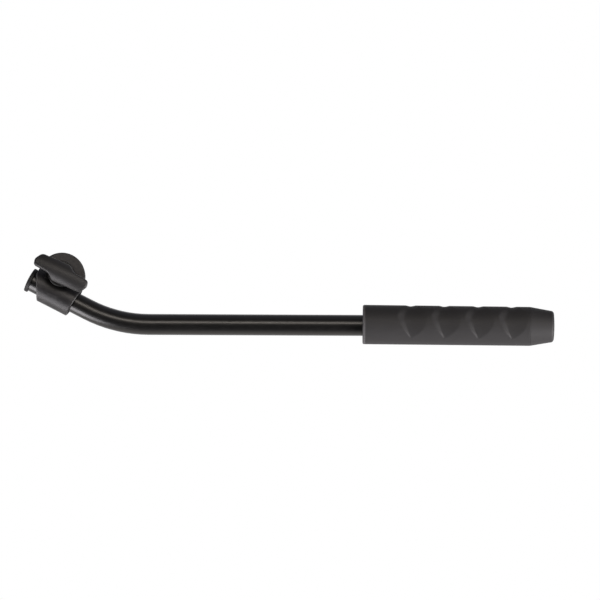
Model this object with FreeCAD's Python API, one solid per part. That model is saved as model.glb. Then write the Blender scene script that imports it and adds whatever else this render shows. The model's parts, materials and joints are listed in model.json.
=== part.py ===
import FreeCAD, Part

# Pan handle of a fluid video head: a bent tube with a moulded grip, held in a split clamp whose
# captive wing screw also locks the clamp's toothed rosette to the head.
#
# Row frame, millimetres: the origin is on the wing screw's axis, in the plane of the rosette's tooth
# crests. +Y points to the head, +X along the straight tube to the grip, +Z up.
# The clamp frame is the row frame turned about Y by BEND_ANGLE, so that its x runs along the clamp's
# bore. Clamp and knob are modelled there, as is the bent end of the tube.

import math
import os

from FreeCAD import Placement, Rotation, Vector

# ---- Driving dimensions ----
BEND_ANGLE = 27.0  # between the bore and the straight tube, degrees
BEND_R = 102.0  # of the tube's centreline
BEND_START_X = 30.0  # where the bend starts along the bore, from the screw axis
TUBE_R = 8.0
TUBE_WALL = 1.5
BORE_DROP = 14.0  # from the screw axis down to the bore's axis
BORE_DEPTH = 14.0  # from the rosette's crests forward to the bore's axis
RUN_CLEARANCE = 0.05  # radial, for what turns or slides
GATE_R = 2.0  # the flat middle of a moulded dome
THROUGH = 60.0  # how far a cut that goes right through something reaches

SLEEVE_R = 11.8
SLEEVE_EDGE_R = 0.8
DISC_R = 17.75
DISC_BACK_Y = -2.0
DISC_EDGE_R = 1.2
DISC_BACK_CHAMFER = 0.5
SLIT = 1.6
EAR_R = 10.3
EAR_EDGE_R = 0.7
SEAT_Y = -24.9  # the front ear's face, under the thrust washer
CHEEK_Y = -24.5  # the web's front face between ear and sleeve
LEFT_PLUMB_X = -19.0  # row X of the plumb cut across the sleeve's front end
LEFT_END_X = -17.4  # sleeve ends at its top line, each leaning in by END_LEAN
RIGHT_END_X = 19.4
END_LEAN = 5.7  # degrees

BUSH_WALL = 0.95
BUSH_START_X = -8.5
BUSH_FLANGE_X = 15.6
BUSH_FLANGE_T = 1.0
BUSH_FLANGE_RISE = 0.9  # of the flange over the bush
BUSH_SPLIT = 1.2

SCREW_R = 3.0  # of its threaded end
SCREW_SHANK_R = 2.6  # of the plain shank behind the thread
SCREW_THREAD_Y = -0.3  # where the thread starts
SCREW_HOLE_R = 3.3
SCREW_TIP_Y = 9.0
SCREW_TIP_CHAMFER = 0.7
HEAD_FLATS = 10.0
HEAD_T = 3.6
CLIP_R = 5.0
CLIP_T = 0.7
CLIP_Y = -3.2
CLIP_BITE = 0.5  # how far it reaches into the shank
CLIP_TRAVEL = 2.95
CLIP_END_GAP = 0.1  # left under the clip when the screw is right out
CLIP_MOUTH = 3.6
CLIP_RELIEF_R = 0.9
CLIP_RELIEF_AT = (3.2, 1.4)  # (x, z) of the relief hole on each side
COUNTERBORE_R = 5.6

ROSETTE_R = 16.6
ROSETTE_SEAT_Y = -3.5
TOOTH_H = 1.5
TOOTH_INNER_R = 11.6
TEETH = 36
TOOTH_GAP_SHARE = 0.97  # of the pitch; the rest is the flat on each crest
PLATE_SCREWS = 3
PLATE_SCREW_R = 1.25
PLATE_SCREW_CIRCLE_R = 8.9
PLATE_SCREW_HEAD_R = 2.3
PLATE_SCREW_END_Y = -8.0
PLATE_SCREW_FIT = 0.1
SOCKET_FLATS = 1.5
SOCKET_DEPTH = 0.9

WASHER_R = 7.5
WASHER_T = 1.0
WASHER_CHAMFER = 0.25
COLLAR_R = 10.0
COLLAR_H = 3.6
COLLAR_EDGE_R = 0.7
CROWN_Y = -38.0  # the highest line of the wing
CROWN_R_ACROSS = 9.5
CROWN_R_ALONG = 92.0
WING_EDGE_R = 1.9
WING_BACK_EDGE_R = 0.6
CORE_INSET = 2.2
CORE_TOP_Y = -33.4
# Half of the wing's outline as (x, z, corner radius); the other half is the same turned by 180 degrees.
WING_CORNERS = [
    (-21.2, -3.9, 2.2),
    (-8.6, -4.4, 7.0),
    (-4.2, -8.3, 5.5),
    (19.3, -6.9, 4.2),
    (22.6, -0.6, 4.0),
]

FLANGE_R = 9.4
FLANGE_T = 2.8
FLANGE_DOME = 0.8
FLANGE_EDGE = 0.4
PLUG_GAP = 0.3  # the flange stops short of the sleeve by this much
PLUG_LENGTH = 15.0
PLUG_WALL = 1.6

GRIP_START_X = 229.5
GRIP_LIFT = 0.7  # of the grip's own axis over the tube's, where the grip starts
GRIP_LEAN = 0.4  # degrees, by which the grip's axis drops towards the tube's
GRIP_R = 15.0
GRIP_R_AT_CAP = 14.85
GRIP_EDGE_R = 1.2
SEAM_EDGE = 0.25  # chamfer on each side of the joint between grip and end cap
CAP_START_X = 356.9
CAP_START_R = 14.8
CAP_END_R = 12.1
CAP_EDGE_R = 2.6
CAP_DOME = 0.4
GRIP_END_X = 375.5
TUBE_END_X = 370.0
SPIGOT_LENGTH = 19.0
CORE_START_GAP = 1.5  # rubber in front of the core's flange
CORE_R = 10.2
CORE_RIBS = 6
CORE_RIB_R = 11.4
CORE_RIB_T = 2.4
CORE_RIB_GAP = 4.0  # the ribs stop short of the cap by this much
CORE_FLANGE_R = 12.6
CORE_FLANGE_T = 2.5
FINGER_PITCH = 25.6
FIRST_FINGER_X = 268.1
FINGER_COUNT = 4
FINGER_DEPTH = 1.9
FINGER_AT = 27.0  # middle of each finger hollow, degrees above the front of the grip
FINGER_SPREAD = 66.0  # half its length round the grip, degrees
FINGER_TOOL_R = 32.0

# ---- Worked out ----
BUSH_IN_R = TUBE_R + RUN_CLEARANCE
BUSH_OUT_R = BUSH_IN_R + BUSH_WALL
BORE_R = BUSH_OUT_R + RUN_CLEARANCE
BORE_Y = -BORE_DEPTH
BORE_Z = -BORE_DROP
PLUG_FACE_X = LEFT_END_X - PLUG_GAP
WASHER_Y = SEAT_Y - WASHER_T
WING_Y = WASHER_Y - COLLAR_H
TUBE_IN_R = TUBE_R - TUBE_WALL
TURN = math.radians(BEND_ANGLE)

X, Y, Z = Vector(1, 0, 0), Vector(0, 1, 0), Vector(0, 0, 1)
CLAMP_TO_ROW = Placement(Vector(0, 0, 0), Rotation(Y, BEND_ANGLE))


def row_point(x, y, z):
    """A point of the clamp frame, in the row frame."""
    return CLAMP_TO_ROW.multVec(Vector(x, y, z))


def in_row(shape):
    """A shape of the clamp frame, in the row frame."""
    moved = shape.copy()
    moved.Placement = CLAMP_TO_ROW.multiply(moved.Placement)
    return moved


def rod_y(radius, y0, y1, x=0.0, z=0.0):
    return Part.makeCylinder(radius, y1 - y0, Vector(x, y0, z), Y)


def rod_x(radius, x0, x1, y=0.0, z=0.0):
    return Part.makeCylinder(radius, x1 - x0, Vector(x0, y, z), X)


def block(x0, x1, y0, y1, z0, z1):
    return Part.makeBox(x1 - x0, y1 - y0, z1 - z0, Vector(x0, y0, z0))


def one_solid(shape):
    """The single solid of a boolean result, with faces on one surface joined."""
    solids = shape.removeSplitter().Solids
    if len(solids) != 1:
        raise RuntimeError(f"expected one solid, found {len(solids)}")
    return solids[0]


def circle_edges(shape, radius, axis, at=None):
    """The shape's circular edges of a radius about an axis direction, at one place along it if given."""
    found = []
    for edge in shape.Edges:
        curve = edge.Curve
        if not isinstance(curve, Part.Circle) or abs(curve.Radius - radius) > 1e-4:
            continue
        if abs(abs(curve.Axis.dot(axis)) - 1) > 1e-6:
            continue
        if at is None or abs(curve.Center.dot(axis) - at) < 1e-4:
            found.append(edge)
    return found


def turned(points, arcs):
    """A solid of revolution about the X axis, from (x, radius) corners; arcs maps the index of a corner
    to the middle point of an arc that leads from it to the next corner."""
    edges = []
    for i, (x0, r0) in enumerate(points):
        x1, r1 = points[(i + 1) % len(points)]
        a, b = Vector(x0, 0, r0), Vector(x1, 0, r1)
        if i in arcs:
            mx, mr = arcs[i]
            edges.append(Part.Arc(a, Vector(mx, 0, mr), b).toShape())
        else:
            edges.append(Part.makeLine(a, b))
    face = Part.Face(Part.Wire(edges))
    return face.revolve(Vector(0, 0, 0), X, 360)


def placed(shape, offset):
    moved = shape.copy()
    moved.translate(offset)
    return moved


def rounded_face(corners, y):
    """A face in a plane of constant y from (x, z, corner radius), each corner rounded by a tangent arc."""
    count = len(corners)
    points = [Vector(x, y, z) for x, z, _ in corners]
    starts, middles, ends = [], [], []
    for i, (_, _, radius) in enumerate(corners):
        here = points[i]
        back = (points[i - 1] - here).normalize()
        ahead = (points[(i + 1) % count] - here).normalize()
        half = back.getAngle(ahead) / 2
        middle = (back + ahead).normalize()
        starts.append(here + back * (radius / math.tan(half)))
        ends.append(here + ahead * (radius / math.tan(half)))
        middles.append(here + middle * (radius / math.sin(half) - radius))
    edges = []
    for i in range(count):
        edges.append(Part.Arc(starts[i], middles[i], ends[i]).toShape())
        edges.append(Part.makeLine(ends[i], starts[(i + 1) % count]))
    return Part.Face(Part.Wire(edges))


# Where the bend ends and the straight tube's axis lies, in the row frame.
BEND_START = row_point(BEND_START_X, BORE_Y, BORE_Z)
BEND_CENTRE = BEND_START + row_point(0, 0, BEND_R)
BAR_AXIS = Vector(0, BORE_Y, BEND_CENTRE.z - BEND_R)
BORE_AXIS = Vector(0, BORE_Y, BORE_Z)


def on_grip_axis(shape):
    """A shape about the X axis, laid on the grip's own axis."""
    laid = shape.copy()
    laid.rotate(Vector(GRIP_START_X, 0, 0), Y, GRIP_LEAN)
    return placed(laid, BAR_AXIS + Z * GRIP_LIFT)


def sleeve_end_cutter(x_top, side):
    """A big block whose face is the plane that ends the sleeve at x_top on its top line; side is 1 for
    the right end and -1 for the left."""
    cutter = block(0, THROUGH, -THROUGH, THROUGH, -THROUGH, THROUGH)
    if side < 0:
        cutter.rotate(Vector(0, 0, 0), Z, 180)
    cutter.rotate(Vector(0, 0, 0), Y, side * END_LEAN)
    return placed(cutter, Vector(x_top, 0, BORE_Z + SLEEVE_R))


def clamp_body():
    """The cast clamp: disc, front ear and tube sleeve with a slit between the ears."""
    slit_y0 = BORE_Y - SLIT / 2
    slit_y1 = BORE_Y + SLIT / 2

    sleeve = rod_x(SLEEVE_R, -THROUGH, THROUGH, BORE_Y, BORE_Z)
    sleeve = sleeve.cut([sleeve_end_cutter(RIGHT_END_X, 1), sleeve_end_cutter(LEFT_END_X, -1)])
    plumb = block(LEFT_PLUMB_X - THROUGH, LEFT_PLUMB_X, -THROUGH, THROUGH, -THROUGH, THROUGH)
    plumb.rotate(Vector(0, 0, 0), Y, -BEND_ANGLE)
    sleeve = one_solid(sleeve.cut(plumb))
    ends = [edge for edge in sleeve.Edges if not isinstance(edge.Curve, Part.Line)]
    sleeve = sleeve.makeFillet(SLEEVE_EDGE_R, ends)

    disc = rod_y(DISC_R, slit_y1, DISC_BACK_Y)
    disc = disc.makeFillet(DISC_EDGE_R, circle_edges(disc, DISC_R, Y, slit_y1))
    disc = disc.makeChamfer(DISC_BACK_CHAMFER, circle_edges(disc, DISC_R, Y, DISC_BACK_Y))

    ear = rod_y(EAR_R, SEAT_Y, slit_y0)
    ear = ear.makeFillet(EAR_EDGE_R, circle_edges(ear, EAR_R, Y, SEAT_Y))
    cheek = block(-EAR_R, EAR_R, CHEEK_Y, slit_y0, BORE_Z, 0)

    body = sleeve.fuse([disc, ear, cheek])
    flange_seat_r = BUSH_OUT_R + BUSH_FLANGE_RISE + 4 * RUN_CLEARANCE
    cuts = [
        rod_x(BORE_R, -THROUGH, THROUGH, BORE_Y, BORE_Z),
        block(-THROUGH, THROUGH, slit_y0, slit_y1, BORE_Z, THROUGH),
        rod_y(SCREW_HOLE_R, -THROUGH, THROUGH),
        rod_y(COUNTERBORE_R, CLIP_Y - CLIP_TRAVEL - CLIP_END_GAP, THROUGH),
        rod_y(ROSETTE_R, ROSETTE_SEAT_Y, THROUGH),
        rod_x(flange_seat_r, BUSH_FLANGE_X, THROUGH, BORE_Y, BORE_Z),
    ]
    for x, z in plate_screw_places():
        cuts.append(rod_y(PLATE_SCREW_R, PLATE_SCREW_END_Y, THROUGH, x, z))
    return one_solid(body.cut(cuts))


def tube_bush():
    """The split plastic bush that the tube slides through."""
    flange_x0 = BUSH_FLANGE_X + RUN_CLEARANCE
    flange_x1 = flange_x0 + BUSH_FLANGE_T
    body = rod_x(BUSH_OUT_R, BUSH_START_X, flange_x0, BORE_Y, BORE_Z)
    flange = rod_x(BUSH_OUT_R + BUSH_FLANGE_RISE, flange_x0, flange_x1, BORE_Y, BORE_Z)
    bore = rod_x(BUSH_IN_R, -THROUGH, THROUGH, BORE_Y, BORE_Z)
    split_y0 = BORE_Y - BUSH_SPLIT / 2
    split = block(-THROUGH, THROUGH, split_y0, split_y0 + BUSH_SPLIT, BORE_Z, THROUGH)
    return one_solid(body.fuse(flange).cut([bore, split]))


def plate_screw_places():
    """Centres of the rosette's screws in the clamp frame, one straight up."""
    angles = [math.radians(90 + 360 / PLATE_SCREWS * i) for i in range(PLATE_SCREWS)]
    return [(PLATE_SCREW_CIRCLE_R * math.cos(a), PLATE_SCREW_CIRCLE_R * math.sin(a)) for a in angles]


def tooth_gap(angle):
    """One radial V between two teeth, as wide as the pitch and narrowing to the centre."""
    wires = []
    for radius in (TOOTH_INNER_R - 1.0, ROSETTE_R + 1.0):
        half = TOOTH_GAP_SHARE * math.pi * radius / TEETH
        corners = [
            Vector(radius, 0.001, half),
            Vector(radius, 0.001, -half),
            Vector(radius, -TOOTH_H, 0),
        ]
        wires.append(Part.makePolygon(corners + corners[:1]))
    gap = Part.makeLoft(wires, True, True)
    gap.rotate(Vector(0, 0, 0), Y, angle)
    return gap


def rosette_ring():
    """The toothed locking plate let into the clamp's back."""
    cuts = [
        rod_y(TOOTH_INNER_R, -TOOTH_H, THROUGH),
        rod_y(COUNTERBORE_R, -THROUGH, THROUGH),
    ]
    for x, z in plate_screw_places():
        cuts.append(rod_y(PLATE_SCREW_R + PLATE_SCREW_FIT, -THROUGH, THROUGH, x, z))
        cuts.append(plate_screw_head(x, z))
    ring = rod_y(ROSETTE_R, ROSETTE_SEAT_Y, 0).cut(cuts)
    return one_solid(ring.cut([tooth_gap(360.0 / TEETH * i) for i in range(TEETH)]))


def plate_screw_head(x, z):
    """A countersunk head whose top is flush with the plate between the teeth and the hole."""
    depth = PLATE_SCREW_HEAD_R - PLATE_SCREW_R
    return Part.makeCone(PLATE_SCREW_R, PLATE_SCREW_HEAD_R, depth, Vector(x, -TOOTH_H - depth, z), Y)


def hexagon(flats, y0, y1, x=0.0, z=0.0):
    radius = flats / math.sqrt(3)
    angles = [math.radians(60 * i) for i in range(7)]
    ring = [Vector(x + radius * math.cos(a), y0, z + radius * math.sin(a)) for a in angles]
    return Part.Face(Part.makePolygon(ring)).extrude(Vector(0, y1 - y0, 0))


def rosette_screws():
    """Three countersunk screws with hexagon sockets."""
    screws = []
    for x, z in plate_screw_places():
        shank = rod_y(PLATE_SCREW_R, PLATE_SCREW_END_Y, -TOOTH_H - SOCKET_DEPTH, x, z)
        socket = hexagon(SOCKET_FLATS, -TOOTH_H - SOCKET_DEPTH, 0, x, z)
        screws.append(one_solid(plate_screw_head(x, z).fuse(shank).cut(socket)))
    return Part.makeCompound(screws)


def knob_screw():
    """The clamping screw: a hexagon head, a plain shank with a groove for the clip, and an M6 end."""
    threaded = rod_y(SCREW_R, SCREW_THREAD_Y, SCREW_TIP_Y)
    threaded = threaded.makeChamfer(SCREW_TIP_CHAMFER, circle_edges(threaded, SCREW_R, Y, SCREW_TIP_Y))
    shank = rod_y(SCREW_SHANK_R, WING_Y, SCREW_THREAD_Y)
    groove = rod_y(SCREW_SHANK_R + 1, CLIP_Y - RUN_CLEARANCE, CLIP_Y + CLIP_T + RUN_CLEARANCE)
    groove = groove.cut(rod_y(SCREW_SHANK_R - CLIP_BITE - RUN_CLEARANCE, -THROUGH, THROUGH))
    head = hexagon(HEAD_FLATS, WING_Y - HEAD_T, WING_Y)
    return one_solid(shank.cut(groove).fuse([threaded, head]))


def retaining_clip():
    """An open clip in the screw's groove that keeps the screw in the clamp."""
    x, z = CLIP_RELIEF_AT
    cuts = [
        rod_y(SCREW_SHANK_R - CLIP_BITE, -THROUGH, THROUGH),
        block(-CLIP_MOUTH / 2, CLIP_MOUTH / 2, -THROUGH, THROUGH, -THROUGH, 0),
        rod_y(CLIP_RELIEF_R, -THROUGH, THROUGH, x, z),
        rod_y(CLIP_RELIEF_R, -THROUGH, THROUGH, -x, z),
    ]
    return one_solid(rod_y(CLIP_R, CLIP_Y, CLIP_Y + CLIP_T).cut(cuts))


def thrust_washer():
    washer = rod_y(WASHER_R, WASHER_Y, SEAT_Y).cut(rod_y(SCREW_HOLE_R, -THROUGH, 0))
    return one_solid(washer.makeChamfer(WASHER_CHAMFER, circle_edges(washer, WASHER_R, Y)))


def wing_outline():
    """The whole outline: the listed half and the same half turned by 180 degrees."""
    return WING_CORNERS + [(-x, -z, r) for x, z, r in WING_CORNERS]


def knob_skeleton():
    """The hard core's rib inside the soft wing."""
    face = rounded_face(wing_outline(), CORE_TOP_Y)
    inner = face.makeOffset2D(-CORE_INSET)
    return inner.extrude(Vector(0, WING_Y - CORE_TOP_Y, 0)).Solids[0]


def knob_core():
    """The hard hub: a round collar on the washer and the rib that carries the wing."""
    collar = rod_y(COLLAR_R, WING_Y, WASHER_Y)
    collar = collar.makeFillet(COLLAR_EDGE_R, circle_edges(collar, COLLAR_R, Y))
    return one_solid(collar.fuse(knob_skeleton()).cut(knob_screw()))


def knob_cover():
    """The soft wing: an S-shaped outline with a front crowned both ways."""
    blank_y = CROWN_Y - 1
    blank = rounded_face(wing_outline(), blank_y).extrude(Vector(0, WING_Y - blank_y, 0))
    crown_centre = Vector(0, CROWN_Y + CROWN_R_ALONG, 0)
    crown = Part.makeTorus(CROWN_R_ALONG - CROWN_R_ACROSS, CROWN_R_ACROSS, crown_centre)
    wing = one_solid(blank.common(crown))
    front = [edge for edge in wing.Edges if edge.BoundBox.YMax < (WING_Y + CROWN_Y) / 2 + 1]
    wing = wing.makeFillet(WING_EDGE_R, front)
    back = [edge for edge in wing.Edges if edge.BoundBox.YMin > WING_Y - 0.01]
    wing = wing.makeFillet(WING_BACK_EDGE_R, back)
    return one_solid(wing.cut(knob_skeleton()))


def tube():
    """The bent tube, from the stop plug to the grip's end."""
    start = row_point(PLUG_FACE_X, BORE_Y, BORE_Z)
    bend_mid = BEND_CENTRE + Vector(-math.sin(TURN / 2), 0, -math.cos(TURN / 2)) * BEND_R
    bend_end = Vector(BEND_CENTRE.x, BORE_Y, BAR_AXIS.z)
    end = Vector(TUBE_END_X, BORE_Y, BAR_AXIS.z)
    path = Part.Wire(
        [
            Part.makeLine(start, BEND_START),
            Part.Arc(BEND_START, bend_mid, bend_end).toShape(),
            Part.makeLine(bend_end, end),
        ]
    )
    along = (BEND_START - start).normalize()
    skins = []
    for radius in (TUBE_R, TUBE_IN_R):
        ring = Part.Wire(Part.makeCircle(radius, start, along))
        skins.append(path.makePipeShell([ring], True, False))
    return skins[0].cut(skins[1]).Solids[0]


def stop_plug():
    """The domed, flanged plug in the tube's clamp end, which stops the tube in the clamp."""
    spigot_r = TUBE_IN_R - RUN_CLEARANCE
    spigot_end_x = PLUG_FACE_X + PLUG_LENGTH
    hollow_r = spigot_r - PLUG_WALL
    hollow_x = PLUG_FACE_X + PLUG_WALL
    rim_x = PLUG_FACE_X - FLANGE_T
    points = [
        (rim_x - FLANGE_DOME, 0),
        (rim_x - FLANGE_DOME, GATE_R),
        (rim_x, FLANGE_R - FLANGE_EDGE),
        (rim_x + FLANGE_EDGE, FLANGE_R),
        (PLUG_FACE_X - FLANGE_EDGE, FLANGE_R),
        (PLUG_FACE_X, FLANGE_R - FLANGE_EDGE),
        (PLUG_FACE_X, spigot_r),
        (spigot_end_x, spigot_r),
        (spigot_end_x, hollow_r),
        (hollow_x, hollow_r),
        (hollow_x, 0),
    ]
    dome_mid = (rim_x - 0.7 * FLANGE_DOME, (FLANGE_R - FLANGE_EDGE + GATE_R) / 2)
    return placed(turned(points, {1: dome_mid}), BORE_AXIS)


def grip_core_outside():
    """The outer form of the grip's hard core, without its bore: a flange, a barrel and ribs."""
    x0 = GRIP_START_X + CORE_START_GAP
    shapes = [rod_x(CORE_FLANGE_R, x0, x0 + CORE_FLANGE_T)]
    for i in range(CORE_RIBS):
        rib = block(x0, CAP_START_X - CORE_RIB_GAP, -CORE_RIB_T / 2, CORE_RIB_T / 2, 0, CORE_RIB_R)
        rib.rotate(Vector(0, 0, 0), X, 360 / CORE_RIBS * i)
        shapes.append(rib)
    barrel = rod_x(CORE_R, x0, CAP_START_X)
    return on_grip_axis(one_solid(barrel.fuse(shapes)))


def bar_bore(x0, x1, radius=TUBE_R):
    return rod_x(radius, x0, x1, BAR_AXIS.y, BAR_AXIS.z)


def grip_core():
    return one_solid(grip_core_outside().cut(bar_bore(GRIP_START_X - 1, TUBE_END_X)))


def finger_tool(x, side):
    """A ring like a curled finger, set off the X axis so that it sinks in over one stretch."""
    bottom = GRIP_R - FINGER_DEPTH
    cosine = math.cos(math.radians(FINGER_SPREAD))
    offset = (GRIP_R**2 - bottom**2) / (2 * bottom - 2 * GRIP_R * cosine)
    at = math.radians(FINGER_AT)
    centre = Vector(x, side * offset * math.cos(at), -offset * math.sin(at))
    return Part.makeTorus(bottom + offset + FINGER_TOOL_R, FINGER_TOOL_R, centre, X)


def grip_sleeve():
    """The rubber grip with finger hollows on its front and back."""
    points = [
        (GRIP_START_X, 0),
        (GRIP_START_X, GRIP_R - GRIP_EDGE_R),
        (GRIP_START_X + GRIP_EDGE_R, GRIP_R),
        (CAP_START_X - SEAM_EDGE, GRIP_R_AT_CAP),
        (CAP_START_X, GRIP_R_AT_CAP - SEAM_EDGE),
        (CAP_START_X, 0),
    ]
    corner = GRIP_EDGE_R * (1 - math.sqrt(0.5))
    outside = turned(points, {1: (GRIP_START_X + corner, GRIP_R - corner)})
    hollows = []
    for i in range(FINGER_COUNT):
        for side in (1, -1):
            hollows.append(finger_tool(FIRST_FINGER_X + i * FINGER_PITCH, side))
    sleeve = on_grip_axis(outside.cut(hollows))
    sleeve = sleeve.cut([grip_core_outside(), bar_bore(GRIP_START_X - 1, TUBE_END_X)])
    return max(sleeve.Solids, key=lambda solid: solid.Volume)


def grip_end_cap():
    """The tapered cap that closes the grip, on a spigot in the tube's end."""
    corner = CAP_EDGE_R * (1 - math.sqrt(0.5))
    rim_x = GRIP_END_X - CAP_DOME
    points = [
        (CAP_START_X, 0),
        (CAP_START_X, CAP_START_R - SEAM_EDGE),
        (CAP_START_X + SEAM_EDGE, CAP_START_R),
        (rim_x - CAP_EDGE_R, CAP_END_R),
        (rim_x, CAP_END_R - CAP_EDGE_R),
        (GRIP_END_X, GATE_R),
        (GRIP_END_X, 0),
    ]
    arcs = {
        3: (rim_x - corner, CAP_END_R - corner),
        4: (GRIP_END_X - 0.3 * CAP_DOME, (CAP_END_R - CAP_EDGE_R + GATE_R) / 2),
    }
    cap = on_grip_axis(turned(points, arcs)).cut(bar_bore(CAP_START_X - 1, TUBE_END_X))
    spigot = bar_bore(TUBE_END_X - SPIGOT_LENGTH, TUBE_END_X, TUBE_IN_R - RUN_CLEARANCE)
    return one_solid(cap.fuse(spigot))


def main():
    os.makedirs("parts", exist_ok=True)
    clamp_side = {
        "clamp_body": clamp_body(),
        "rosette_ring": rosette_ring(),
        "rosette_screws": rosette_screws(),
        "tube_bush": tube_bush(),
        "thrust_washer": thrust_washer(),
        "knob_core": knob_core(),
        "knob_cover": knob_cover(),
        "knob_screw": knob_screw(),
        "retaining_clip": retaining_clip(),
        "stop_plug": stop_plug(),
    }
    parts = {name: in_row(shape) for name, shape in clamp_side.items()}
    parts["tube"] = tube()
    parts["grip_core"] = grip_core()
    parts["grip_sleeve"] = grip_sleeve()
    parts["grip_end_cap"] = grip_end_cap()
    for name, shape in parts.items():
        if not shape.isValid() or shape.Volume <= 0:
            raise RuntimeError(f"{name} is not a valid solid")
        shape.exportStep(f"parts/{name}.step")
        print(name, len(shape.Solids), round(shape.Volume, 1))


main()
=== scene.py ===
"""Finishes and fine shapes of a video head's pan handle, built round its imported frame.

The frame gives the sizes and places. This file adds the rubber grip with its finger hollows and
the screw's thread, gives every piece its finish, and sets a plain studio.
"""

import json
import math

import bmesh
import bpy
from bpy.props import FloatProperty, FloatVectorProperty, IntProperty, PointerProperty
from mathutils import Matrix, Vector


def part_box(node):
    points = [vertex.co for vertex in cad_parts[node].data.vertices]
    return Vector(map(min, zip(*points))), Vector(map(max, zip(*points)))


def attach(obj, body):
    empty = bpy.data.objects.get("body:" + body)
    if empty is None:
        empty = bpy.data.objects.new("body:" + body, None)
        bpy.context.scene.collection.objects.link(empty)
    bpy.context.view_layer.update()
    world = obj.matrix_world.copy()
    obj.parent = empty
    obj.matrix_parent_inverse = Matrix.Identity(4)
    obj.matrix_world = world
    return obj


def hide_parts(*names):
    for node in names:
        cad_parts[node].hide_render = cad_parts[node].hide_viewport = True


bl_info = {
    "name": "Pan handle finisher",
    "version": (1, 0, 0),
    "blender": (4, 5, 0),
    "location": "View3D > Sidebar > Pan handle",
    "description": "Gives a packed pan handle its grip, thread, finishes and a studio",
    "category": "Object",
}

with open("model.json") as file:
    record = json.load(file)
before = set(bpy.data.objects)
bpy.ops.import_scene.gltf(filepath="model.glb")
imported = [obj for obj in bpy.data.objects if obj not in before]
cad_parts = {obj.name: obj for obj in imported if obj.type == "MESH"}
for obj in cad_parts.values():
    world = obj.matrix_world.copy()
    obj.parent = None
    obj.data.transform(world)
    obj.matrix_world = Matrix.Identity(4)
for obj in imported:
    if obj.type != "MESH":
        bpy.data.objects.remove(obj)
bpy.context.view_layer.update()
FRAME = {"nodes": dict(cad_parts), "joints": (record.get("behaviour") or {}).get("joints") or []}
NODES = FRAME["nodes"]
JOINTS = {joint["name"]: joint for joint in FRAME["joints"]}

MM = 0.001
PALE = (0.9, 0.9, 0.9)


def middle(node):
    low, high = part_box(node)
    return (low + high) / 2


def extent(node):
    low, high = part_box(node)
    return high - low


# The tube turns on the bore's axis. The straight tube's axis lies at BAR_Y and BAR_Z.
BORE_POINT = Vector(JOINTS["tube_turn"]["pos_m"])
BORE_ALONG = Vector(JOINTS["tube_turn"]["axis"])
BEND_ANGLE = math.atan2(-BORE_ALONG.z, BORE_ALONG.x)
BEND_R = 102 * MM
TUBE_R = extent("tube").y / 2
BAR_Y = middle("tube").y
BAR_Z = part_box("tube")[0].z + TUBE_R

FRONT_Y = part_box("clamp_body")[0].y
END_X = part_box("clamp_body")[0].x
DISC_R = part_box("clamp_body")[1].z

# The clamping screw lies on the Y axis.
THREAD_R = 3.0 * MM
THREAD_DEPTH = 0.6 * MM
THREAD_START_Y = -0.3 * MM
FLAT_SHARE = 0.1  # of the thread's pitch, for the crest and for the root
TIP_CHAMFER = 0.7 * MM
SHANK_R = 2.6 * MM
GROOVE_R = 2.05 * MM
CLIP_FIT = 0.05 * MM

# The grip has its own axis, which starts above the tube's and leans down towards it.
GRIP_LOW, GRIP_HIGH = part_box("grip_sleeve")
GRIP_R = extent("grip_sleeve").y / 2
GRIP_NARROWING = 0.01  # from the tube's end of the grip to the cap
GRIP_START_Z = GRIP_HIGH.z - GRIP_R
GRIP_DROP = GRIP_START_Z - (GRIP_LOW.z + GRIP_R * (1 - GRIP_NARROWING))
GRIP_LEAN = math.atan2(GRIP_DROP, extent("grip_sleeve").x)
END_TILT = GRIP_R * math.sin(GRIP_LEAN)  # how far each end's rim leans out at its top or bottom
GRIP_LENGTH = extent("grip_sleeve").x - 2 * END_TILT
GRIP_START = Vector((GRIP_LOW.x + END_TILT, BAR_Y, GRIP_START_Z))
GRIP_FRAME = Matrix.Translation(GRIP_START) @ Matrix.Rotation(GRIP_LEAN, 4, "Y")
GRIP_RIM = 1.2 * MM  # radius of the rounded edge at the tube's end
GRIP_SEAM = 0.1 * MM  # chamfer at the cap
GRIP_FIT = 0.02 * MM  # between the rubber's bore and the tube

# How the outline and floor of a finger hollow run.
DEEPENING = 1.5  # how many times sooner it is at full depth than at full width
STRAIGHT_LEAD = 0.7  # share of a straight line in the steep side's outline, the rest is a sine
BLUNT_TRAIL = 0.7  # power of the long side's outline, blunter below 1
ROUND_FLOOR = 0.6  # share of a parabola in the floor, the rest is an S-curve
TOP_WALL = 0.5  # the steep wall's share of the width where front and back hollows meet


# ---- Shader maths ----


class Wire:
    """An output socket. Python arithmetic on it adds Math nodes to its graph."""

    def __init__(self, graph, socket):
        self.graph = graph
        self.socket = socket

    def math(self, operation, *values):
        sockets = dict(enumerate(values))
        return self.graph.node("ShaderNodeMath", {"operation": operation}, sockets)

    def __add__(self, other):
        return self.math("ADD", self, other)

    def __radd__(self, other):
        return self.math("ADD", other, self)

    def __sub__(self, other):
        return self.math("SUBTRACT", self, other)

    def __rsub__(self, other):
        return self.math("SUBTRACT", other, self)

    def __mul__(self, other):
        return self.math("MULTIPLY", self, other)

    def __rmul__(self, other):
        return self.math("MULTIPLY", other, self)

    def __truediv__(self, other):
        return self.math("DIVIDE", self, other)

    def __pow__(self, other):
        return self.math("POWER", self, other)

    def __abs__(self):
        return self.math("ABSOLUTE", self)

    def step(self, low, high):
        """0 below low, 1 above high and smooth between them."""
        settings = {"interpolation_type": "SMOOTHSTEP", "clamp": True}
        sockets = {"Value": self, 1: low, 2: high, 3: 0.0, 4: 1.0}
        return self.graph.node("ShaderNodeMapRange", settings, sockets)

    def limit(self, low, high):
        return self.math("MINIMUM", self.math("MAXIMUM", self, low), high)

    def hypot(self, other):
        return (self * self + other * other) ** 0.5


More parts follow.
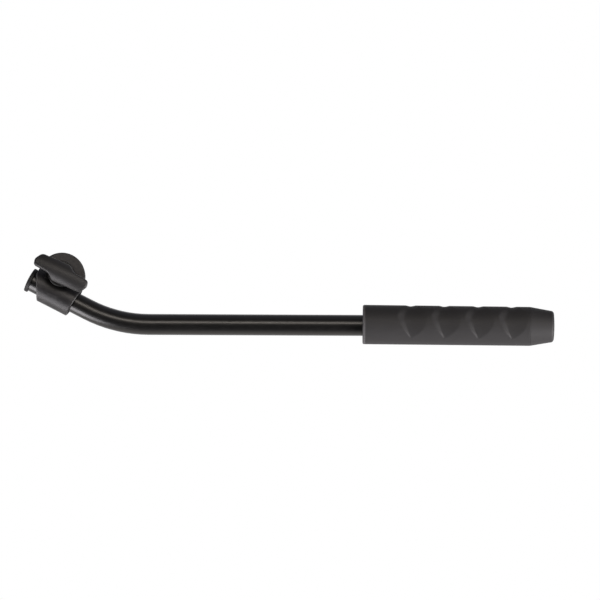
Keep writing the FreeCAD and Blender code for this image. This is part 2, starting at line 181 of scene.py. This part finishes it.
class Graph:
    """A node tree that grows one call at a time."""

    def __init__(self, owner):
        owner.use_nodes = True
        self.tree = owner.node_tree
        self.tree.nodes.clear()

    def join(self, value, socket):
        if isinstance(value, Wire):
            self.tree.links.new(value.socket, socket)
        elif socket.type == "RGBA" and len(value) == 3:
            socket.default_value = (*value, 1.0)
        else:
            socket.default_value = value

    def node(self, kind, settings, sockets, output=0):
        """Adds a node, sets its properties, then fills its input sockets, by name or by place."""
        made = self.tree.nodes.new(kind)
        for name, value in settings.items():
            setattr(made, name, value)
        for key, value in sockets.items():
            self.join(value, made.inputs[key])
        return None if output is None else Wire(self, made.outputs[output])

    def place(self):
        """The point of the surface in the row frame, in metres."""
        return self.node("ShaderNodeTexCoord", {}, {}, "Object")

    def axes(self, place):
        return [self.node("ShaderNodeSeparateXYZ", {}, {0: place}, i) for i in range(3)]

    def point(self, x, y, z):
        return self.node("ShaderNodeCombineXYZ", {}, {0: x, 1: y, 2: z})

    def noise(self, place, size, detail=2.0, roughness=0.5):
        """Noise from 0 to 1, with lumps of about a size in metres."""
        sockets = {"Vector": place, "Scale": 1 / size, "Detail": detail, "Roughness": roughness}
        return self.node("ShaderNodeTexNoise", {}, sockets)

    def blend(self, factor, first, second):
        settings = {"data_type": "RGBA", "clamp_factor": True}
        return self.node("ShaderNodeMix", settings, {0: factor, 6: first, 7: second}, 2)

    def either(self, factor, first, second):
        """One shader or another."""
        return self.node("ShaderNodeMixShader", {}, {0: factor, 1: first, 2: second})

    def relief(self, height, depth):
        """A bump of a depth in metres for a height from 0 to 1."""
        sockets = {"Height": height, "Distance": depth, "Strength": 1.0}
        return self.node("ShaderNodeBump", {}, sockets)


class Finish(Graph):
    """A material with a Principled shader. Its sockets are named with underscores for spaces."""

    def __init__(self, name, **constants):
        self.material = bpy.data.materials.new(name)
        super().__init__(self.material)
        self.output = self.tree.nodes.new("ShaderNodeOutputMaterial")
        self.shader, self.surface = self.principled(**constants)
        self.join(self.surface, self.output.inputs["Surface"])

    def principled(self, **constants):
        shader = self.tree.nodes.new("ShaderNodeBsdfPrincipled")
        self.fill(shader, constants)
        return shader, Wire(self, shader.outputs["BSDF"])

    def fill(self, shader, values):
        for socket, value in values.items():
            self.join(value, shader.inputs[socket.replace("_", " ")])

    def feed(self, **wires):
        self.fill(self.shader, wires)

    def cover(self, mask, **constants):
        """Lays a second shader over the first one where a mask is 1."""
        _, over = self.principled(**constants)
        self.join(self.either(mask, self.surface, over), self.output.inputs["Surface"])


def tint(colour, factor):
    return tuple(min(1.0, channel * factor) for channel in colour)


def clamp_axes(finish, place):
    """The clamp's own axes: x along the bore, y to the head, z away from the tube."""
    settings = {"rotation_type": "Y_AXIS"}
    return finish.axes(
        finish.node("ShaderNodeVectorRotate", settings, {"Vector": place, "Angle": -BEND_ANGLE})
    )


# ---- Sizes and colours that a user would change ----


class PanHandleGrip(bpy.types.PropertyGroup):
    """The rubber grip's finger hollows."""

    fingers: IntProperty(name="Fingers", description="Hollows along one side", default=4, min=1)
    pitch: FloatProperty(
        name="Pitch", description="From one hollow to the next", default=25.6 * MM, unit="LENGTH"
    )
    first: FloatProperty(
        name="First hollow",
        description="From the grip's end to the first tip",
        default=36.4 * MM,
        unit="LENGTH",
    )
    depth: FloatProperty(
        name="Depth", description="Deepest point", default=1.9 * MM, unit="LENGTH"
    )
    lead: FloatProperty(
        name="Steep side", description="Its reach from the tip", default=10.8 * MM, unit="LENGTH"
    )
    trail: FloatProperty(
        name="Long side", description="Its reach from the tip", default=12.4 * MM, unit="LENGTH"
    )
    wall: FloatProperty(
        name="Wall at the tip",
        description="The steep wall's share of the width",
        default=0.2,
        subtype="FACTOR",
    )
    shoulder_wall: FloatProperty(
        name="Wall at the shoulder",
        description="Its share where a hollow is widest",
        default=0.28,
        subtype="FACTOR",
    )
    tip: FloatProperty(
        name="Tip",
        description="Angle from the top of the grip",
        default=math.radians(137),
        unit="ROTATION",
    )
    shoulder: FloatProperty(
        name="Shoulder",
        description="Angle where a hollow is widest",
        default=math.radians(74),
        unit="ROTATION",
    )
    top_depth: FloatProperty(
        name="Depth at the top",
        description="Where front and back hollows meet",
        default=0.7 * MM,
        unit="LENGTH",
    )
    top_lead: FloatProperty(
        name="Steep side at the top",
        description="Its reach there",
        default=4.2 * MM,
        unit="LENGTH",
    )
    top_trail: FloatProperty(
        name="Long side at the top",
        description="Its reach there",
        default=3.8 * MM,
        unit="LENGTH",
    )


class PanHandleColours(bpy.types.PropertyGroup):
    """Base colours of the finishes."""

    tube: FloatVectorProperty(
        name="Tube",
        description="Black anodised",
        default=(0.0075, 0.0072, 0.0072),
        subtype="COLOR",
    )
    cast: FloatVectorProperty(
        name="Clamp",
        description="Coat of the casting",
        default=(0.018, 0.017, 0.019),
        subtype="COLOR",
    )
    # A pale colour for the painted highlights on the clamp's rims.
    painted_highlight: FloatVectorProperty(
        name="Rim highlight",
        description="Painted highlight on the clamp's rims",
        default=(0.115, 0.113, 0.115),
        subtype="COLOR",
    )
    rubber: FloatVectorProperty(
        name="Grip",
        description="Charcoal rubber",
        default=(0.042, 0.041, 0.043),
        subtype="COLOR",
    )
    soft: FloatVectorProperty(
        name="Wing",
        description="Soft-touch moulding",
        default=(0.025, 0.0245, 0.0255),
        subtype="COLOR",
    )
    hard: FloatVectorProperty(
        name="Hard plastic",
        description="Knob core and plug",
        default=(0.024, 0.024, 0.025),
        subtype="COLOR",
    )
    steel: FloatVectorProperty(
        name="Steel",
        description="Zinc plate",
        default=(0.56, 0.55, 0.53),
        subtype="COLOR",
    )


class PanHandleStudio(bpy.types.PropertyGroup):
    """The camera and the room."""

    distance: FloatProperty(
        name="Distance", description="Camera to handle", default=4.6, unit="LENGTH"
    )
    elevation: FloatProperty(
        name="Elevation",
        description="Camera above the handle",
        default=math.radians(-6),
        unit="ROTATION",
    )
    roll: FloatProperty(
        name="Roll", description="Of the camera", default=math.radians(0.26), unit="ROTATION"
    )
    width: FloatProperty(
        name="Width", description="Of the view at the handle", default=458.6 * MM, unit="LENGTH"
    )
    floor: FloatProperty(
        name="Floor", description="Height of the floor", default=-5.5, unit="LENGTH"
    )


def grip_settings():
    return bpy.context.scene.pan_handle_grip


def colours():
    return bpy.context.scene.pan_handle_colours


def studio():
    return bpy.context.scene.pan_handle_studio


# ---- Meshes ----


def new_piece(name, mesh_edit, body, material, node=None):
    """A piece in the row frame, from a bmesh, with smooth faces and one material."""
    mesh = bpy.data.meshes.new(name)
    bmesh.ops.recalc_face_normals(mesh_edit, faces=mesh_edit.faces)
    mesh_edit.to_mesh(mesh)
    mesh_edit.free()
    mesh.shade_smooth()
    piece = bpy.data.objects.new(name, mesh)
    bpy.context.scene.collection.objects.link(piece)
    piece.data.materials.append(material)
    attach(piece, body)
    if node:
        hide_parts(node)
    return piece


def join_rows(mesh_edit, row, ahead):
    """Faces between two rings of as many vertices."""
    for i in range(len(row)):
        j = (i + 1) % len(row)
        mesh_edit.faces.new((row[i], row[j], ahead[j], ahead[i]))


def loft(mesh_edit, rings, closed_ends=True):
    """Joins rings of points, each with as many points as the others, by faces."""
    rows = [[mesh_edit.verts.new(point) for point in ring] for ring in rings]
    for row, ahead in zip(rows, rows[1:]):
        join_rows(mesh_edit, row, ahead)
    if closed_ends:
        mesh_edit.faces.new(rows[0])
        mesh_edit.faces.new(list(reversed(rows[-1])))
    return rows


def ease(value):
    """0 to 1 with a level start and end."""
    value = min(1.0, max(0.0, value))
    return value * value * (3 - 2 * value)


def mix(first, second, share):
    return first + (second - first) * share


def paint_node(node, material):
    """Gives a carried CAD node its finish."""
    mesh = NODES[node].data
    mesh.materials.clear()
    mesh.materials.append(material)


# ---- Finishes ----


DRAWN_LINE = 0.45 * MM  # width of the lines on the tube
DRAWN_STRETCH = 60  # their length in widths
# Painted shade round the knob's screw, under the wing: its radius, and its depth behind the
# clamp's front.
SHADE_R = (11.5 * MM, 15.5 * MM)  # full, and faded out
SHADE_DEPTH = (2 * MM, 6 * MM)  # behind the clamp's front, full and faded out
# Painted highlights: a pale band in from the disc's rim and along from the sleeve's end.
DISC_HIGHLIGHT = (0.1 * MM, 0.6 * MM)  # in from the disc's rim, full and none
END_HIGHLIGHT = (0.5 * MM, 1.3 * MM)  # along from the sleeve's end, full and none
# Painted highlight along the rounded rim at the grip's tube end.
RIM_HIGHLIGHT = (0.8 * GRIP_RIM, 2.0 * GRIP_RIM)  # along from the grip's start, full and none
PARTING = (0.06 * MM, 0.2 * MM)  # from the plane where a mould's halves met, full and none


def parting_line(distance):
    """1 at a distance of 0 from the plane where a mould's halves met."""
    return 1 - abs(distance).step(*PARTING)


def anodised_finish():
    """Satin black anodising on a drawn tube: fine lines along it that follow the bend, and a few
    scratches from sliding in the clamp."""
    finish = Finish("satin_black_anodising", IOR=1.75)
    place = finish.place()
    speck = finish.noise(place, size=3.5 * MM, detail=3.0)
    lines = finish.point(*stretched_tube_axes(finish, place))
    fine = finish.noise(lines, size=1.0, detail=3.0, roughness=0.6)
    scratch = finish.noise(lines, size=2.3, detail=1.0).step(0.74, 0.8) * speck.step(0.45, 0.65)
    base = colours().tube
    coat = finish.blend(speck.step(0.35, 0.7), tint(base, 0.85), tint(base, 1.2))
    finish.feed(
        Base_Color=finish.blend(scratch, coat, tint(base, 4.0)),
        Roughness=0.255 + 0.05 * speck + 0.05 * fine + 0.1 * scratch,
        Normal=finish.relief(fine, depth=0.003 * MM),
    )
    return finish.material


def stretched_tube_axes(finish, place):
    """Distance along the tube and the axes across it, in lengths and widths of a drawn line."""
    x, y, z = finish.axes(place)
    centre_x, centre_z = bend_centre()
    angle = x.math("ARCTAN2", centre_x - x, centre_z - z).limit(0.0, BEND_ANGLE)
    sockets = {"Vector": place, "Center": (centre_x, 0.0, centre_z), "Angle": -1 * angle}
    unbent = finish.node("ShaderNodeVectorRotate", {"rotation_type": "Y_AXIS"}, sockets)
    across = finish.axes(unbent)
    run = across[0] - BEND_R * angle
    return run / (DRAWN_STRETCH * DRAWN_LINE), across[1] / DRAWN_LINE, across[2] / DRAWN_LINE


def bend_centre():
    """The bend centre's x and z, from where the axes of the bore and the straight tube meet."""
    meet_x = BORE_POINT.x + (BAR_Z - BORE_POINT.z) * BORE_ALONG.x / BORE_ALONG.z
    return meet_x + BEND_R * math.tan(BEND_ANGLE / 2), BAR_Z + BEND_R


def rubber_finish(name):
    """Moulded rubber: a fine erosion grain, mottling, dust in the grain, the mould's parting lines
    along the top and bottom, and a painted highlight on the rim at the tube's end."""
    finish = Finish(name, Specular_IOR_Level=0.42)
    place = finish.place()
    x, y, _ = finish.axes(place)
    cloud = finish.noise(place, size=14 * MM, detail=4.0, roughness=0.6)
    grain = finish.noise(place, size=0.42 * MM, detail=2.0, roughness=0.6)
    specks = finish.noise(place, size=0.9 * MM, detail=4.0, roughness=0.7)
    dust = specks.step(0.62, 0.78) * cloud.step(0.35, 0.7)
    parting = parting_line(y - BAR_Y)
    # Painted highlight: the rim at the tube's end pale, flecked with the dust.
    rim = (1 - (x - GRIP_START.x).step(*RIM_HIGHLIGHT)) * (0.7 + 0.3 * dust)
    base = colours().rubber
    body = finish.blend(cloud, tint(base, 0.9), tint(base, 1.1))
    dusty = finish.blend(dust * 0.3, body, tint(base, 2.0))
    finish.feed(
        Base_Color=finish.blend(rim, dusty, tint(base, 4.5)),
        Roughness=0.52 + 0.1 * grain + 0.06 * cloud - 0.1 * parting,
        Normal=finish.relief(grain + 2 * parting, depth=0.035 * MM),
    )
    return finish.material


def cast_finish():
    """A satin coat on a casting: orange peel, the parting line along the sleeve, painted
    highlights on the disc's rim and the sleeve's end, and painted shade round the knob, under its
    wing."""
    finish = Finish("satin_coat_on_casting", Specular_IOR_Level=0.7)
    place = finish.place()
    x, y, z = clamp_axes(finish, place)
    peel = finish.noise(place, size=1.2 * MM, detail=3.0, roughness=0.6)
    cloud = finish.noise(place, size=9 * MM, detail=3.0, roughness=0.6)
    from_screw = x.hypot(z)
    # Painted shade: a mask round the knob's screw near the clamp's front, where the wing shades
    # the sleeve.
    under_knob = 1 - from_screw.step(*SHADE_R)
    front = 1 - (y - FRONT_Y).step(*SHADE_DEPTH)
    painted_shade = under_knob * front * (0.8 + 0.2 * cloud)
    parting = parting_line(y - BORE_POINT.y)
    # Painted highlights: the disc's rim pale in patches, and the sleeve's end pale.
    disc_highlight = (1 - (DISC_R - from_screw).step(*DISC_HIGHLIGHT)) * cloud.step(0.4, 0.65)
    end_highlight = 1 - (finish.axes(place)[0] - END_X).step(*END_HIGHLIGHT)
    base = colours().cast
    coat = finish.blend(cloud, tint(base, 0.8), tint(base, 1.22))
    coat_with_highlights = finish.blend(0.2 * disc_highlight + 0.8 * end_highlight, coat, colours().painted_highlight)
    finish.feed(
        Base_Color=coat_with_highlights,
        Roughness=0.39 + 0.07 * cloud + 0.05 * peel,
        Normal=finish.relief(peel + parting, depth=0.07 * MM),
    )
    # Painted shade: a near-black matte coat laid over the casting round the knob, under the wing.
    finish.cover(painted_shade, Base_Color=(0.003, 0.003, 0.003), Roughness=0.7, Specular_IOR_Level=0.15)
    return finish.material


def soft_touch_finish():
    """The wing's soft-touch moulding: velvety, with a very fine grain."""
    finish = Finish("soft_touch", Specular_IOR_Level=0.65, Sheen_Weight=0.08, Sheen_Roughness=0.4)
    place = finish.place()
    grain = finish.noise(place, size=0.3 * MM, detail=2.0, roughness=0.6)
    cloud = finish.noise(place, size=7 * MM, detail=3.0, roughness=0.6)
    base = colours().soft
    finish.feed(
        Base_Color=finish.blend(cloud, tint(base, 0.9), tint(base, 1.12)),
        Roughness=0.42 + 0.08 * grain + 0.06 * cloud,
        Normal=finish.relief(grain, depth=0.02 * MM),
    )
    return finish.material


def hard_plastic_finish(name, base, grain_size=0.35 * MM, roughness=0.38):
    """Moulded nylon with a spark-eroded grain."""
    finish = Finish(name, Specular_IOR_Level=0.5)
    place = finish.place()
    grain = finish.noise(place, size=grain_size, detail=2.0, roughness=0.6)
    fibre = finish.noise(place, size=2.2 * MM, detail=5.0, roughness=0.7)
    finish.feed(
        Base_Color=finish.blend(fibre.step(0.3, 0.75), tint(base, 0.85), tint(base, 1.3)),
        Roughness=roughness + 0.12 * grain,
        Normal=finish.relief(grain, depth=0.02 * MM),
    )
    return finish.material


def zinc_finish():
    """Zinc-plated steel: bright, slightly blue and yellow in patches, with fine marks."""
    finish = Finish("zinc_plate", Metallic=1.0)
    place = finish.place()
    patch = finish.noise(place, size=2.5 * MM, detail=3.0, roughness=0.6)
    mark = finish.noise(place, size=0.15 * MM, detail=2.0, roughness=0.5)
    base = colours().steel
    yellow = (base[0], base[1] * 0.98, base[2] * 0.9)
    finish.feed(
        Base_Color=finish.blend(patch.step(0.3, 0.7), tint(base, 0.82), yellow),
        Roughness=0.28 + 0.14 * patch + 0.06 * mark,
        Normal=finish.relief(mark, depth=0.008 * MM),
    )
    return finish.material


# ---- Pieces ----


class PANHANDLE_OT_tube(bpy.types.Operator):
    """Give the bent tube its satin black anodising"""

    bl_idname = "pan_handle.tube"
    bl_label = "Tube"

    def execute(self, context):
        paint_node("tube", anodised_finish())
        return {"FINISHED"}


def hollow_depth(along, from_top):
    """How deep the finger hollows are at a distance along the grip and an angle from its top.

    From its tip low on the grip's side a hollow widens and deepens up to its shoulder. From there
    it shrinks again to the top, where it meets the hollow of the other side.
    """
    grip = grip_settings()
    rise = min(1.0, (grip.tip - from_top) / (grip.tip - grip.shoulder))
    if rise <= 0:
        return 0.0
    spread = math.sin(math.pi / 2 * rise)
    upper = ease((grip.shoulder - from_top) / grip.shoulder)
    lead = mix(grip.lead * mix(spread, rise, STRAIGHT_LEAD), grip.top_lead, upper)
    trail = mix(grip.trail * spread**BLUNT_TRAIL, grip.top_trail, upper)
    deepening = math.sin(math.pi / 2 * min(1.0, DEEPENING * rise))
    depth = mix(grip.depth * deepening, grip.top_depth, upper)
    wall = mix(mix(grip.wall, grip.shoulder_wall, rise**2), TOP_WALL, upper)
    deepest = 0.0
    for i in range(grip.fingers):
        start = grip.first + i * grip.pitch - lead
        across = (along - start) / (lead + trail)
        if across < wall:
            share = ease(across / wall)
        else:
            rest = (1 - across) / (1 - wall)
            share = mix(ease(rest), max(0.0, 1 - (1 - rest) ** 2), ROUND_FLOOR)
        deepest = max(deepest, depth * share)
    return deepest


def grip_radius(along):
    """The grip's plain radius: a rounded rim at the tube's end and a slight fall to the cap."""
    radius = GRIP_R * (1 - GRIP_NARROWING * along / GRIP_LENGTH)
    if along < GRIP_RIM:
        radius -= GRIP_RIM - math.sqrt(max(0.0, GRIP_RIM**2 - (GRIP_RIM - along) ** 2))
    return radius - max(0.0, along - (GRIP_LENGTH - GRIP_SEAM))


class PANHANDLE_OT_grip(bpy.types.Operator):
    """Mould the rubber grip with its finger hollows"""

    bl_idname = "pan_handle.grip"
    bl_label = "Grip"

    steps_along: IntProperty(name="Steps along", description="Faces along the grip", default=320)
    steps_round: IntProperty(name="Steps round", description="Faces round the grip", default=192)
    rim_steps: IntProperty(name="Rim steps", description="Faces over the rounded rim", default=8)

    def execute(self, context):
        quarter = math.pi / 2 / self.rim_steps
        places = [GRIP_RIM * (1 - math.cos(quarter * i)) for i in range(self.rim_steps)]
        plain = GRIP_LENGTH - GRIP_SEAM - GRIP_RIM
        places += [GRIP_RIM + plain * i / self.steps_along for i in range(self.steps_along + 1)]
        places.append(GRIP_LENGTH)
        rings = [self.bore_ring(0.0)]
        rings += [self.ring(along) for along in places]
        rings.append(self.bore_ring(GRIP_LENGTH))
        made = bmesh.new()
        rows = loft(made, rings, closed_ends=False)
        join_rows(made, rows[-1], rows[0])
        rubber = rubber_finish("grip_rubber")
        new_piece("grip_rubber", made, "bar", rubber, "grip_sleeve")
        return {"FINISHED"}

    def turns(self):
        return [2 * math.pi * i / self.steps_round for i in range(self.steps_round)]

    def ring(self, along):
        """Points round the grip's axis, from the top, down the front and up the back."""
        points = []
        for turn in self.turns():
            radius = grip_radius(along) - hollow_depth(along, min(turn, 2 * math.pi - turn))
            point = Vector((along, -radius * math.sin(turn), radius * math.cos(turn)))
            points.append(GRIP_FRAME @ point)
        return points

    def bore_ring(self, along):
        """As many points close round the tube."""
        centre = Vector(((GRIP_FRAME @ Vector((along, 0.0, 0.0))).x, BAR_Y, BAR_Z))
        outward = [Vector((0.0, -math.sin(turn), math.cos(turn))) for turn in self.turns()]
        return [centre + (TUBE_R + GRIP_FIT) * way for way in outward]


class PANHANDLE_OT_end_cap(bpy.types.Operator):
    """Give the grip's tapered end its rubber and its core its nylon"""

    bl_idname = "pan_handle.end_cap"
    bl_label = "End cap"

    def execute(self, context):
        paint_node("grip_end_cap", rubber_finish("end_cap_rubber"))
        paint_node("grip_core", hard_plastic_finish("grip_core_nylon", colours().hard))
        return {"FINISHED"}


class PANHANDLE_OT_clamp(bpy.types.Operator):
    """Coat the clamp and finish what is let into it"""

    bl_idname = "pan_handle.clamp"
    bl_label = "Clamp"

    def execute(self, context):
        hard = colours().hard
        paint_node("clamp_body", cast_finish())
        paint_node(
            "rosette_ring", hard_plastic_finish("glass_filled_nylon", hard, grain_size=0.5 * MM)
        )
        paint_node("tube_bush", hard_plastic_finish("bush_acetal", tint(hard, 0.7)))
        paint_node("stop_plug", hard_plastic_finish("plug_nylon", hard, roughness=0.46))
        return {"FINISHED"}


class PANHANDLE_OT_knob(bpy.types.Operator):
    """Finish the knob's soft wing and hard core"""

    bl_idname = "pan_handle.knob"
    bl_label = "Knob"

    def execute(self, context):
        paint_node("knob_cover", soft_touch_finish())
        # The core is darkened to 0.4 of the hard plastic: painted shade on its collar under the
        # wing.
        paint_node("knob_core", hard_plastic_finish("knob_core_nylon", tint(colours().hard, 0.4)))
        return {"FINISHED"}


class PANHANDLE_OT_hardware(bpy.types.Operator):
    """Plate the screws, the washer and the clip, and roll the thread of the clamping screw"""

    bl_idname = "pan_handle.hardware"
    bl_label = "Hardware"

    pitch: FloatProperty(
        name="Pitch", description="Of the thread", default=1.0 * MM, unit="LENGTH"
    )
    steps: IntProperty(name="Steps", description="Rings to one turn of the thread", default=24)
    sides: IntProperty(name="Sides", description="Points in a ring", default=64)

    def execute(self, context):
        zinc = zinc_finish()
        for node in ("rosette_screws", "thrust_washer", "retaining_clip"):
            paint_node(node, zinc)
        low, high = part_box("knob_screw")
        clip_low, clip_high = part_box("retaining_clip")
        groove_start = clip_low.y - CLIP_FIT
        groove_end = clip_high.y + CLIP_FIT
        made = bmesh.new()
        shank = [
            (low.y, SHANK_R),
            (groove_start, SHANK_R),
            (groove_start, GROOVE_R),
            (groove_end, GROOVE_R),
            (groove_end, SHANK_R),
            (THREAD_START_Y, SHANK_R),
        ]
        rings = [self.ring(y, lambda _, radius=radius: radius) for y, radius in shank]
        length = high.y - THREAD_START_Y
        count = round(length / self.pitch * self.steps)
        for i in range(count + 1):
            y = THREAD_START_Y + length * i / count
            rings.append(self.ring(y, lambda turn, y=y: self.thread_radius(y, turn, high.y)))
        loft(made, rings)
        new_piece("threaded_screw", made, "knob", zinc, "knob_screw")
        return {"FINISHED"}

    def thread_radius(self, y, turn, tip_y):
        """A thread with a flat crest and root, run out at its start and chamfered at the tip."""
        wave = abs((y / self.pitch - turn / (2 * math.pi)) % 1.0 - 0.5) * 2
        flank = (wave - FLAT_SHARE) / (1 - 2 * FLAT_SHARE)
        depth = THREAD_DEPTH * min(1.0, max(0.0, flank))
        run_out = (y - THREAD_START_Y) / self.pitch
        depth = max(depth, THREAD_DEPTH * (1 - run_out))
        chamfer = THREAD_R - TIP_CHAMFER + (tip_y - y)
        return min(THREAD_R - depth, chamfer)

    def ring(self, y, radius_at):
        """Points round the screw's axis."""
        points = []
        for i in range(self.sides):
            turn = 2 * math.pi * i / self.sides
            radius = radius_at(turn)
            points.append(Vector((radius * math.cos(turn), y, radius * math.sin(turn))))
        return points


# ---- Studio ----


VIEW_MIDDLE = Vector((181.7 * MM, 0.0, -16.5 * MM))
FLOOR_SIZE = 40.0
KEY_DISTANCE = 1.3
KEY_ELEVATION = math.radians(19)
LOW_DISTANCE = 0.9

# The room's light from all round: a direction, the cosines of the angles to it where a glow
# starts and where it is full, and the glow's colour. A later one lies over the earlier ones.
DIM = (0.02, 0.02, 0.021)
GLOWS = (
    ((0.1, 0.64, -0.77), (0.25, 1.0), (0.66, 0.62, 0.59)),  # from the table, below and behind
    ((0.0, 0.5, 0.87), (0.3, 0.8), (0.17, 0.17, 0.19)),  # from the ceiling
    ((0.0, 1.0, 0.1), (0.45, 0.95), (0.8, 0.8, 0.82)),  # from behind
)


def soft_box(name, aim, place, size, power, colour):
    """A rectangular lamp at a place, turned to a point."""
    lamp = bpy.data.lights.new(name, "AREA")
    lamp.shape = "RECTANGLE"
    lamp.size, lamp.size_y = size
    lamp.energy = power
    lamp.color = colour
    holder = bpy.data.objects.new(name, lamp)
    holder.location = place
    holder.rotation_euler = (aim - place).to_track_quat("-Z", "Y").to_euler()
    bpy.context.scene.collection.objects.link(holder)


class PANHANDLE_OT_studio(bpy.types.Operator):
    """Set the camera, the floor, the lamps and the room"""

    bl_idname = "pan_handle.studio"
    bl_label = "Studio"

    def execute(self, context):
        self.camera(context)
        self.floor(context)
        self.lamps()
        self.room(context)
        context.scene.view_settings.view_transform = "Standard"
        return {"FINISHED"}

    def camera(self, context):
        settings = studio()
        lens = bpy.data.cameras.new("camera")
        lens.sensor_width = 36.0
        lens.lens = lens.sensor_width * settings.distance / settings.width
        lens.clip_end = 100.0
        camera = bpy.data.objects.new("camera", lens)
        back = Vector((0.0, -math.cos(settings.elevation), math.sin(settings.elevation)))
        camera.location = VIEW_MIDDLE + back * settings.distance
        look = (-back).to_track_quat("-Z", "Y").to_matrix()
        camera.rotation_euler = (look @ Matrix.Rotation(settings.roll, 3, "Z")).to_euler()
        context.scene.collection.objects.link(camera)
        context.scene.camera = camera

    def floor(self, context):
        made = bmesh.new()
        bmesh.ops.create_grid(made, x_segments=1, y_segments=1, size=FLOOR_SIZE / 2)
        mesh = bpy.data.meshes.new("floor")
        made.to_mesh(mesh)
        made.free()
        floor = bpy.data.objects.new("floor", mesh)
        floor.location = (VIEW_MIDDLE.x, VIEW_MIDDLE.y, studio().floor)
        finish = Finish(
            "pale_floor",
            Base_Color=PALE,
            Roughness=0.9,
            Emission_Color=PALE,
            Emission_Strength=1.1,
        )
        mesh.materials.append(finish.material)
        floor.visible_diffuse = False
        floor.visible_glossy = False
        context.scene.collection.objects.link(floor)

    def lamps(self):
        """A long warm strip in front, a little above, and a soft box low down at each end."""
        towards_key = Vector((0.08, -math.cos(KEY_ELEVATION), math.sin(KEY_ELEVATION)))
        soft_box(
            "key",
            VIEW_MIDDLE,
            place=VIEW_MIDDLE + KEY_DISTANCE * towards_key,
            size=(2.4, 0.3),
            power=7.0,
            colour=(1.0, 0.92, 0.84),
        )
        clamp = middle("clamp_body")
        soft_box(
            "low_left",
            clamp,
            place=clamp + LOW_DISTANCE * Vector((-0.66, -0.22, -0.72)),
            size=(0.6, 0.6),
            power=5.7,
            colour=(1.0, 0.97, 1.0),
        )
        grip = middle("grip_sleeve")
        soft_box(
            "right",
            grip,
            place=grip + Vector((0.85, -0.3, -0.5)),
            size=(0.6, 0.6),
            power=15.0,
            colour=(1.0, 0.97, 0.97),
        )

    def room(self, context):
        """White to the camera. To the handle bright below and behind, dim above, dark in front."""
        world = bpy.data.worlds.new("room")
        graph = Graph(world)
        towards = graph.node("ShaderNodeTexCoord", {}, {}, "Generated")
        light = DIM
        for direction, cosines, colour in GLOWS:
            sockets = {0: towards, 1: Vector(direction).normalized()}
            settings = {"operation": "DOT_PRODUCT"}
            facing = graph.node("ShaderNodeVectorMath", settings, sockets, "Value")
            light = graph.blend(facing.step(*cosines), light, colour)
        lit = graph.node("ShaderNodeBackground", {}, {"Color": light})
        seen = graph.node("ShaderNodeBackground", {}, {"Color": (1.0, 1.0, 1.0)})
        camera_ray = graph.node("ShaderNodeLightPath", {}, {}, "Is Camera Ray")
        surface = graph.either(camera_ray, lit, seen)
        graph.node("ShaderNodeOutputWorld", {}, {"Surface": surface}, None)
        context.scene.world = world


class PANHANDLE_PT_sidebar(bpy.types.Panel):
    """The handle's operators and the values that they read"""

    bl_idname = "PANHANDLE_PT_sidebar"
    bl_label = "Pan handle"
    bl_space_type = "VIEW_3D"
    bl_region_type = "UI"
    bl_category = "Pan handle"

    def draw(self, context):
        for settings in (grip_settings(), colours(), studio()):
            box = self.layout.box()
            for name in settings.__annotations__:
                box.prop(settings, name)
        for operator in OPERATORS:
            self.layout.operator(operator.bl_idname)


OPERATORS = (
    PANHANDLE_OT_studio,
    PANHANDLE_OT_tube,
    PANHANDLE_OT_grip,
    PANHANDLE_OT_end_cap,
    PANHANDLE_OT_clamp,
    PANHANDLE_OT_knob,
    PANHANDLE_OT_hardware,
)
GROUPS = {
    "pan_handle_grip": PanHandleGrip,
    "pan_handle_colours": PanHandleColours,
    "pan_handle_studio": PanHandleStudio,
}


def register():
    for group in GROUPS.values():
        bpy.utils.register_class(group)
    for name, group in GROUPS.items():
        setattr(bpy.types.Scene, name, PointerProperty(type=group))
    for operator in OPERATORS:
        bpy.utils.register_class(operator)
    bpy.utils.register_class(PANHANDLE_PT_sidebar)


def unregister():
    bpy.utils.unregister_class(PANHANDLE_PT_sidebar)
    for operator in reversed(OPERATORS):
        bpy.utils.unregister_class(operator)
    for name, group in reversed(GROUPS.items()):
        delattr(bpy.types.Scene, name)
        bpy.utils.unregister_class(group)


def main():
    register()
    bpy.ops.pan_handle.studio()
    bpy.ops.pan_handle.tube()
    bpy.ops.pan_handle.grip()
    bpy.ops.pan_handle.end_cap()
    bpy.ops.pan_handle.clamp()
    bpy.ops.pan_handle.knob()
    bpy.ops.pan_handle.hardware()


if __name__ == "__main__":
    main()
